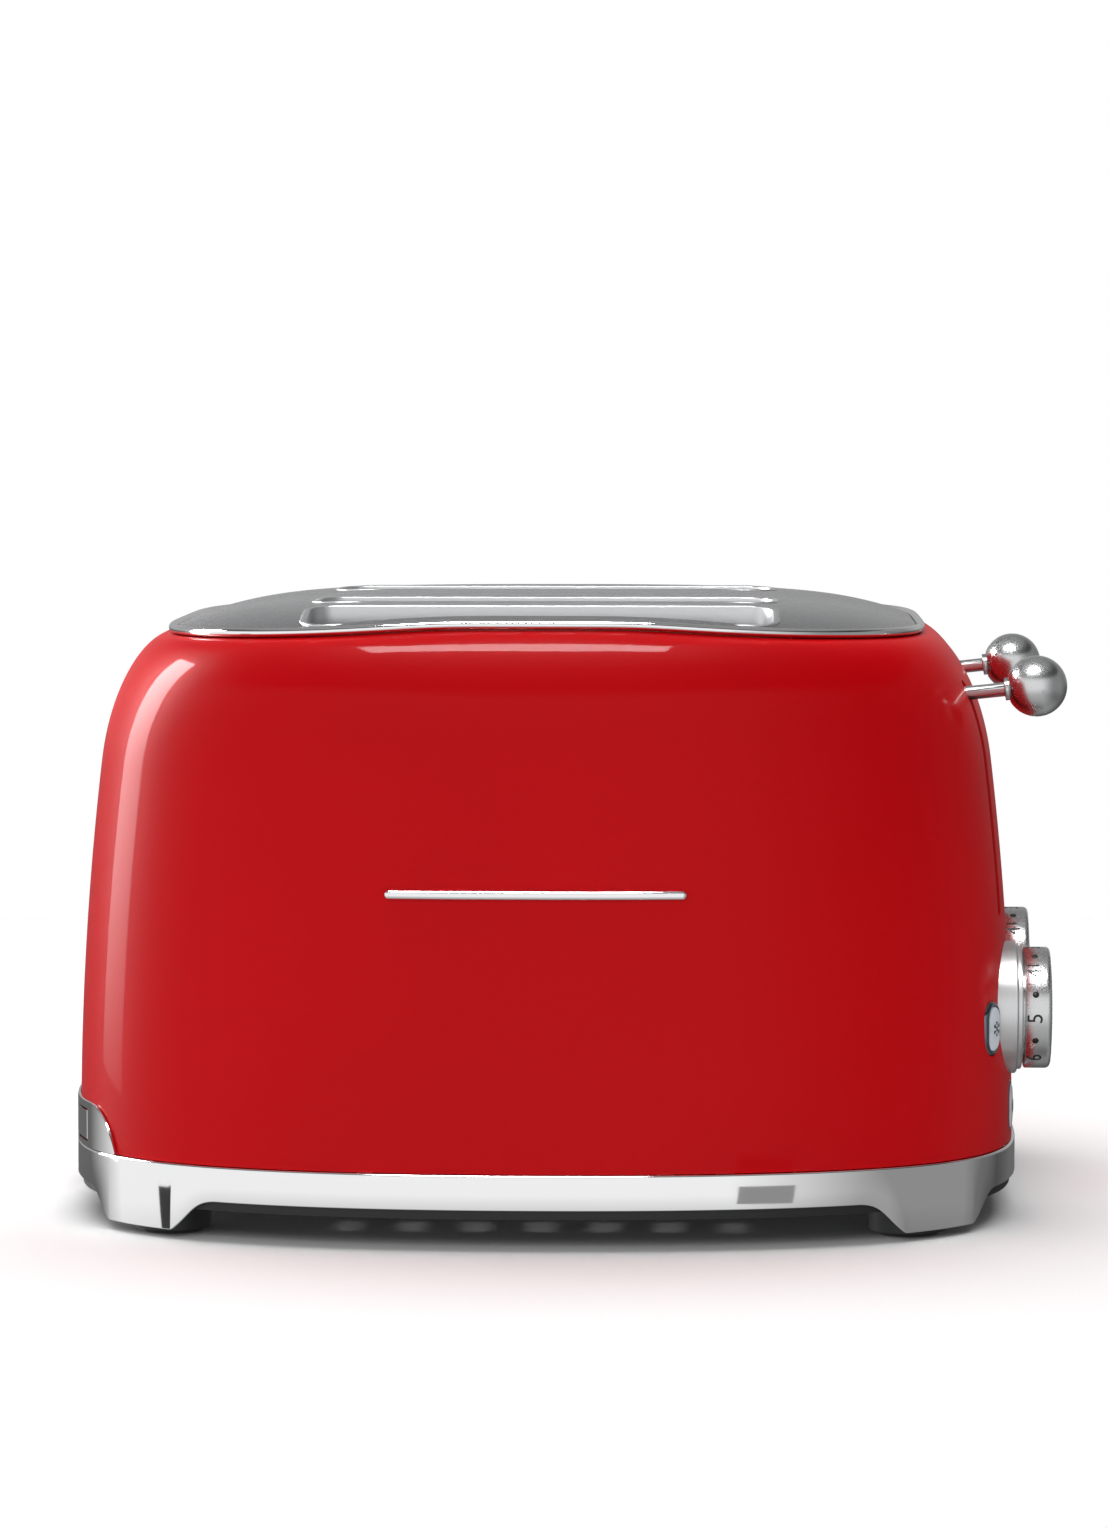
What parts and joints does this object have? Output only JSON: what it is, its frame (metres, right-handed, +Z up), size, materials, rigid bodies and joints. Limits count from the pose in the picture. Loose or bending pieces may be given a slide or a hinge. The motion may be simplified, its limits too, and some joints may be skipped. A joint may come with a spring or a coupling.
{
  "type": "pop up toaster",
  "caption": "Free-standing rounded toaster with bread slots in a domed top, ball-ended drop levers, browning dials, push buttons and slide-out crumb trays.",
  "frame": {"origin": "on the worktop plane, under the middle of the whole part including the lever balls", "axes": "+Z up, +X towards the control end with the levers and dials, +Y across the slots"},
  "size_m": [0.331, 0.327, 0.2033],
  "materials": {
    "body_red": "gloss enamel",
    "panel_satin": "satin",
    "bright_chrome": "polished",
    "satin_knob": "satin",
    "black_plastic": "matt",
    "foot_rubber": "matt",
    "plated_steel": "plated",
    "mica": "matt",
    "button_plastic": "satin",
    "circuit_green": "satin",
    "copper_coil": "enamelled"
  },
  "bodies": {
    "housing": {"outer_shell": "body_red", "top_panel": "panel_satin", "top_bead": "bright_chrome", "base_band": "bright_chrome", "rear_panel": "bright_chrome", "base_plate": "black_plastic", "cord_gland": "black_plastic", "foot_block_1": "black_plastic", "foot_pad_1": "foot_rubber", "slot_liner_1": "plated_steel", "heater_boards_1": "mica", "foot_block_2": "black_plastic", "foot_pad_2": "foot_rubber", "slot_liner_2": "plated_steel", "heater_boards_2": "mica", "foot_block_3": "black_plastic", "foot_pad_3": "foot_rubber", "slot_liner_3": "plated_steel", "heater_boards_3": "mica", "foot_block_4": "black_plastic", "foot_pad_4": "foot_rubber", "slot_liner_4": "plated_steel", "heater_boards_4": "mica", "front_end_plate": "plated_steel", "rear_end_plate": "plated_steel", "guide_rods_1": "plated_steel", "return_spring_1": "plated_steel", "hold_magnet_1": "copper_coil", "dial_ring_1": "satin_knob", "potentiometer_1": "black_plastic", "control_board_1": "circuit_green", "guide_rods_2": "plated_steel", "return_spring_2": "plated_steel", "hold_magnet_2": "copper_coil", "dial_ring_2": "satin_knob", "potentiometer_2": "black_plastic", "control_board_2": "circuit_green", "button_bezels": "bright_chrome", "chassis_screws": "plated_steel", "badge_bar": "bright_chrome"},
    "lever_1": {"bread_carriage_1": "plated_steel", "lever_arm_1": "bright_chrome", "lever_ball_1": "satin_knob"},
    "guide_near_1": {"bread_guide_near_1": "plated_steel"},
    "guide_far_1": {"bread_guide_far_1": "plated_steel"},
    "dial_body_1": {"dial_1": "satin_knob"},
    "tray_1": {"crumb_tray_1": "bright_chrome"},
    "lever_2": {"bread_carriage_2": "plated_steel", "lever_arm_2": "bright_chrome", "lever_ball_2": "satin_knob"},
    "guide_near_2": {"bread_guide_near_2": "plated_steel"},
    "guide_far_2": {"bread_guide_far_2": "plated_steel"},
    "dial_body_2": {"dial_2": "satin_knob"},
    "tray_2": {"crumb_tray_2": "bright_chrome"},
    "button_1": {"push_button_1": "button_plastic"},
    "button_2": {"push_button_2": "button_plastic"},
    "button_3": {"push_button_3": "button_plastic"},
    "button_4": {"push_button_4": "button_plastic"},
    "button_5": {"push_button_5": "button_plastic"},
    "button_6": {"push_button_6": "button_plastic"}
  },
  "joints": [
    {"name": "lever_1_slide", "type": "slide", "parent": "housing", "child": "lever_1", "axis": [0, 0, -1], "range_m": [0, 0.07], "stiffness_N_per_m": 60, "springref_m": -0.05, "deforming": ["return_spring_1"]},
    {"name": "guide_near_1_slide", "type": "slide", "parent": "housing", "child": "guide_near_1", "axis": [0, 1, 0], "range_m": [0, 0.0051]},
    {"name": "guide_far_1_slide", "type": "slide", "parent": "housing", "child": "guide_far_1", "axis": [0, -1, 0], "range_m": [0, 0.0051]},
    {"name": "dial_1_turn", "type": "hinge", "parent": "housing", "child": "dial_body_1", "pos_m": [0.1615, -0.072, 0.0685], "axis": [1, 0, 0], "range_deg": [-150, 150]},
    {"name": "tray_1_slide", "type": "slide", "parent": "housing", "child": "tray_1", "axis": [-1, 0, 0], "range_m": [0, 0.23]},
    {"name": "lever_2_slide", "type": "slide", "parent": "housing", "child": "lever_2", "axis": [0, 0, -1], "range_m": [0, 0.07], "stiffness_N_per_m": 60, "springref_m": -0.05, "deforming": ["return_spring_2"]},
    {"name": "guide_near_2_slide", "type": "slide", "parent": "housing", "child": "guide_near_2", "axis": [0, 1, 0], "range_m": [0, 0.0051]},
    {"name": "guide_far_2_slide", "type": "slide", "parent": "housing", "child": "guide_far_2", "axis": [0, -1, 0], "range_m": [0, 0.0051]},
    {"name": "dial_2_turn", "type": "hinge", "parent": "housing", "child": "dial_body_2", "pos_m": [0.1615, 0.072, 0.0685], "axis": [1, 0, 0], "range_deg": [-150, 150]},
    {"name": "tray_2_slide", "type": "slide", "parent": "housing", "child": "tray_2", "axis": [-1, 0, 0], "range_m": [0, 0.23]},
    {"name": "button_1_press", "type": "slide", "parent": "housing", "child": "button_1", "axis": [-1, 0, 0], "range_m": [0, 0.002], "stiffness_N_per_m": 400, "springref_m": -0.001},
    {"name": "button_2_press", "type": "slide", "parent": "housing", "child": "button_2", "axis": [-1, 0, 0], "range_m": [0, 0.002], "stiffness_N_per_m": 400, "springref_m": -0.001},
    {"name": "button_3_press", "type": "slide", "parent": "housing", "child": "button_3", "axis": [-1, 0, 0], "range_m": [0, 0.002], "stiffness_N_per_m": 400, "springref_m": -0.001},
    {"name": "button_4_press", "type": "slide", "parent": "housing", "child": "button_4", "axis": [-1, 0, 0], "range_m": [0, 0.002], "stiffness_N_per_m": 400, "springref_m": -0.001},
    {"name": "button_5_press", "type": "slide", "parent": "housing", "child": "button_5", "axis": [-1, 0, 0], "range_m": [0, 0.002], "stiffness_N_per_m": 400, "springref_m": -0.001},
    {"name": "button_6_press", "type": "slide", "parent": "housing", "child": "button_6", "axis": [-1, 0, 0], "range_m": [0, 0.002], "stiffness_N_per_m": 400, "springref_m": -0.001}
  ],
  "couplings": [
    {"joint": "guide_near_1_slide", "follows": "lever_1_slide", "ratio": 0.071429},
    {"joint": "guide_far_1_slide", "follows": "lever_1_slide", "ratio": 0.071429},
    {"joint": "guide_near_2_slide", "follows": "lever_2_slide", "ratio": 0.071429},
    {"joint": "guide_far_2_slide", "follows": "lever_2_slide", "ratio": 0.071429}
  ]
}
